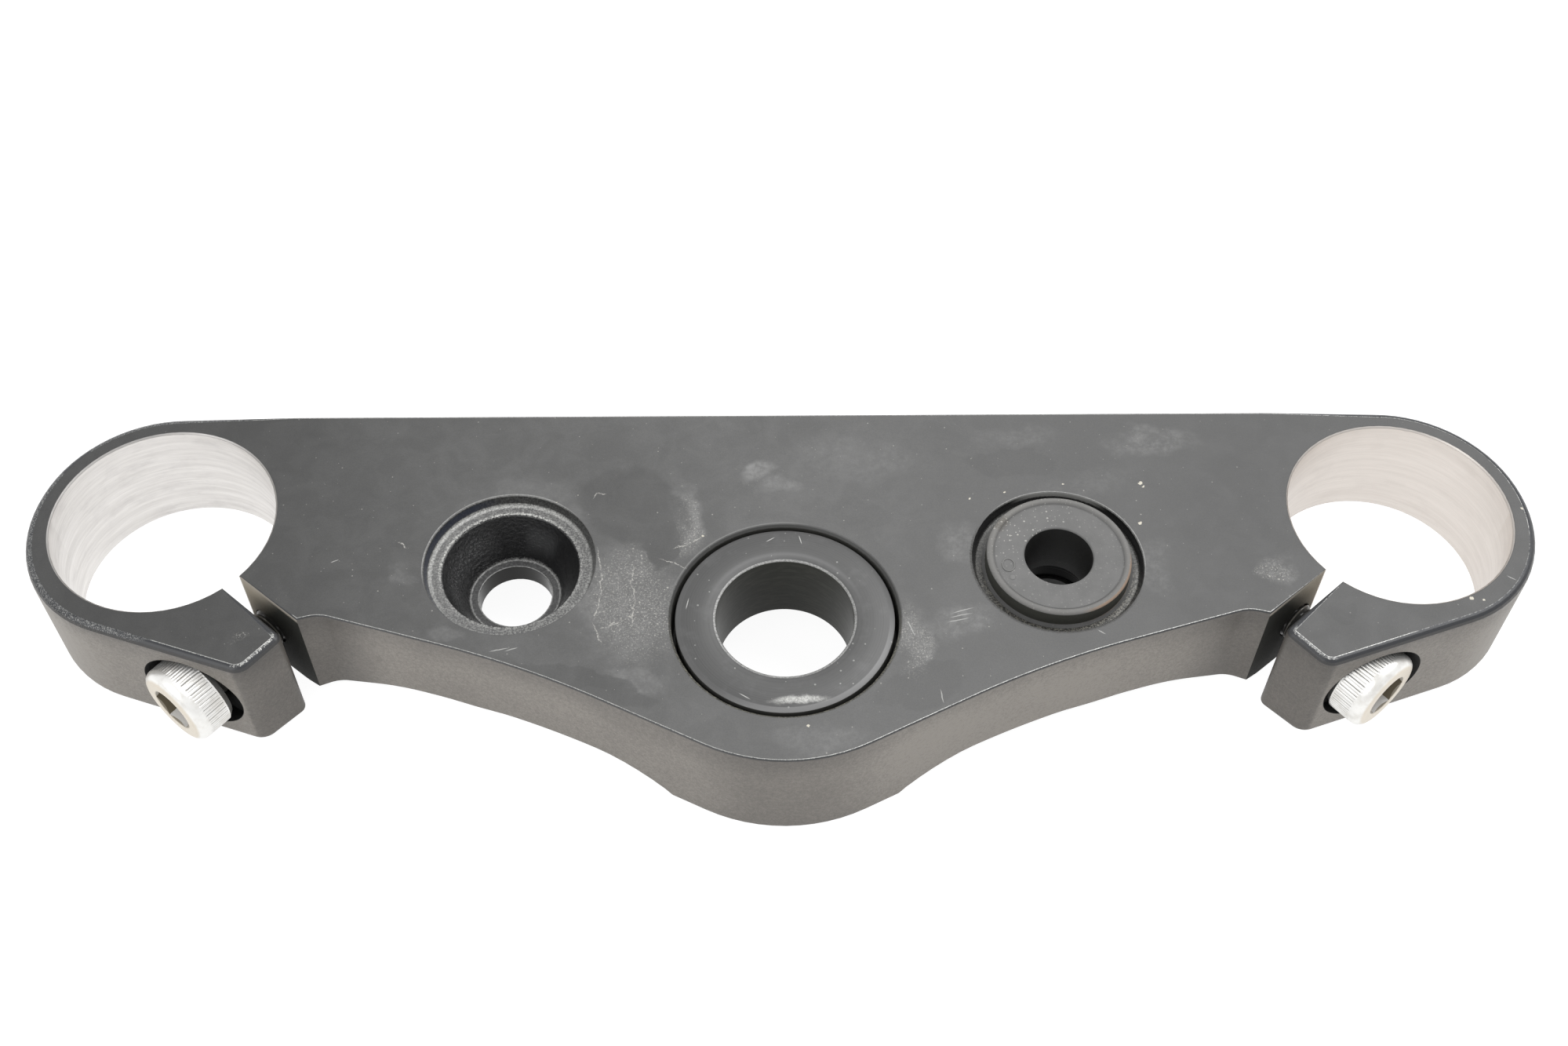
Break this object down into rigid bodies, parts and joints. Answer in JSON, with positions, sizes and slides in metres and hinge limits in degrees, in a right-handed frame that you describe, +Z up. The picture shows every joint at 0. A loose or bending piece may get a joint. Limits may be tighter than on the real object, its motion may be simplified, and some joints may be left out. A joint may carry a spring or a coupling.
{
  "type": "motorcycle triple clamp",
  "caption": "Cast upper fork clamp with a split pinch ring at each end, a flanged stem bush in the middle, cupped handlebar riser sockets, a pair of rubber bushes and pinch screws.",
  "frame": {"origin": "on the steering stem's axis, at half the plate's thickness", "axes": "+X from the stem towards the fork tube beside the rubber bushes, +Y forward (away from the rider), +Z up along the stem"},
  "size_m": [0.2916, 0.0802, 0.0264],
  "materials": {
    "clamp_body": "satin charcoal coat over a casting, with bare machined fork bores",
    "stem_bush": "dark, turned",
    "riser_bush": "dusty matte",
    "clamp_screw": "bright zinc with a knurled head"
  },
  "bodies": {
    "root": {"clamp_body": "clamp_body", "stem_bush": "stem_bush", "riser_bush_upper": "riser_bush", "riser_bush_lower": "riser_bush", "clamp_screw_left": "clamp_screw", "clamp_screw_right": "clamp_screw"}
  },
  "joints": []
}
